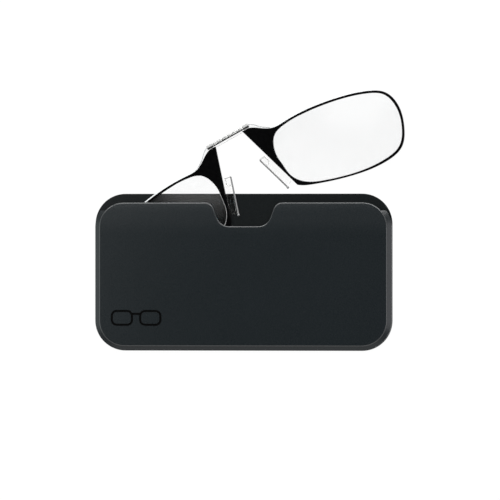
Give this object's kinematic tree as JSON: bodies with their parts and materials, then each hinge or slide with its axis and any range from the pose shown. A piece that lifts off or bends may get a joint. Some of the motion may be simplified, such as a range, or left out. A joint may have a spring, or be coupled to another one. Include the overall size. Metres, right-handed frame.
{
  "type": "reading glasses in slide-in case",
  "caption": "Thin pince-nez reading glasses with a flexible metal bridge and strip nose pads, drawn half out of a flat slide-in pod case.",
  "frame": {"origin": "centre of the adhesive pad's outer face, on the back of the case", "axes": "+Z out of the case's front cover, +Y towards the case's open mouth, +X to the right seen from the front"},
  "size_m": [0.113, 0.0947, 0.0043],
  "materials": {
    "shell_black": "satin moulded polycarbonate",
    "adhesive_foam": "matt foam tape",
    "rim_black": "black gloss",
    "lens_clear": "clear polished polycarbonate",
    "carrier_clear": "clear polished polycarbonate",
    "sleeve_clear": "clear film",
    "bridge_metal": "polished nickel-titanium",
    "wire_metal": "polished spring wire",
    "pad_silicone": "clear silicone"
  },
  "bodies": {
    "case": {"case_back_plate": "shell_black", "case_front_cover": "shell_black", "case_bottom_rail": "shell_black", "case_left_rail": "shell_black", "case_right_rail": "shell_black", "adhesive_pad": "adhesive_foam"},
    "left_half": {"left_rim": "rim_black", "left_lens": "lens_clear", "left_clear_edge": "carrier_clear", "left_bridge_clip": "bridge_metal"},
    "bridge_left": {"bridge_ribbon": "bridge_metal"},
    "bridge_right": {"bridge_sleeve": "sleeve_clear"},
    "right_half": {"right_rim": "rim_black", "right_lens": "lens_clear", "right_clear_edge": "carrier_clear", "right_bridge_clip": "bridge_metal"},
    "left_pad": {"left_nose_pad": "pad_silicone", "left_pad_wire": "wire_metal"},
    "right_pad": {"right_nose_pad": "pad_silicone", "right_pad_wire": "wire_metal"}
  },
  "joints": [
    {"name": "draw_out", "type": "slide", "parent": "case", "child": "left_half", "axis": [0, 1, 0], "range_m": [-0.014, 0.045]},
    {"name": "flex_left", "type": "hinge", "parent": "left_half", "child": "bridge_left", "pos_m": [-0.00943, 0.04708, 0.0023], "axis": [0, 0, -1], "range_deg": [-8, 17], "stiffness_Nm_per_rad": 0.05, "deforming": ["bridge_ribbon", "bridge_sleeve"]},
    {"name": "bridge_fold", "type": "hinge", "parent": "bridge_left", "child": "bridge_right", "pos_m": [-0.00567, 0.04916, 0.0023], "axis": [0.4848, -0.8746, 0], "range_deg": [0, 90], "stiffness_Nm_per_rad": 0.03, "deforming": ["bridge_ribbon", "bridge_sleeve"]},
    {"name": "flex_right", "type": "hinge", "parent": "bridge_right", "child": "right_half", "pos_m": [-0.00191, 0.05124, 0.0023], "axis": [0, 0, -1], "range_deg": [-8, 17], "stiffness_Nm_per_rad": 0.05, "deforming": ["bridge_ribbon", "bridge_sleeve"]},
    {"name": "left_pad_flex", "type": "hinge", "parent": "left_half", "child": "left_pad", "pos_m": [-0.00621, 0.02712, 0.0023], "axis": [0.2054, -0.9787, 0], "range_deg": [0, 25], "stiffness_Nm_per_rad": 0.002},
    {"name": "right_pad_flex", "type": "hinge", "parent": "right_half", "child": "right_pad", "pos_m": [0.0133, 0.03793, 0.0023], "axis": [-0.7211, 0.6928, 0], "range_deg": [0, 25], "stiffness_Nm_per_rad": 0.002}
  ],
  "couplings": [
    {"joint": "flex_right", "follows": "flex_left", "ratio": 1}
  ]
}
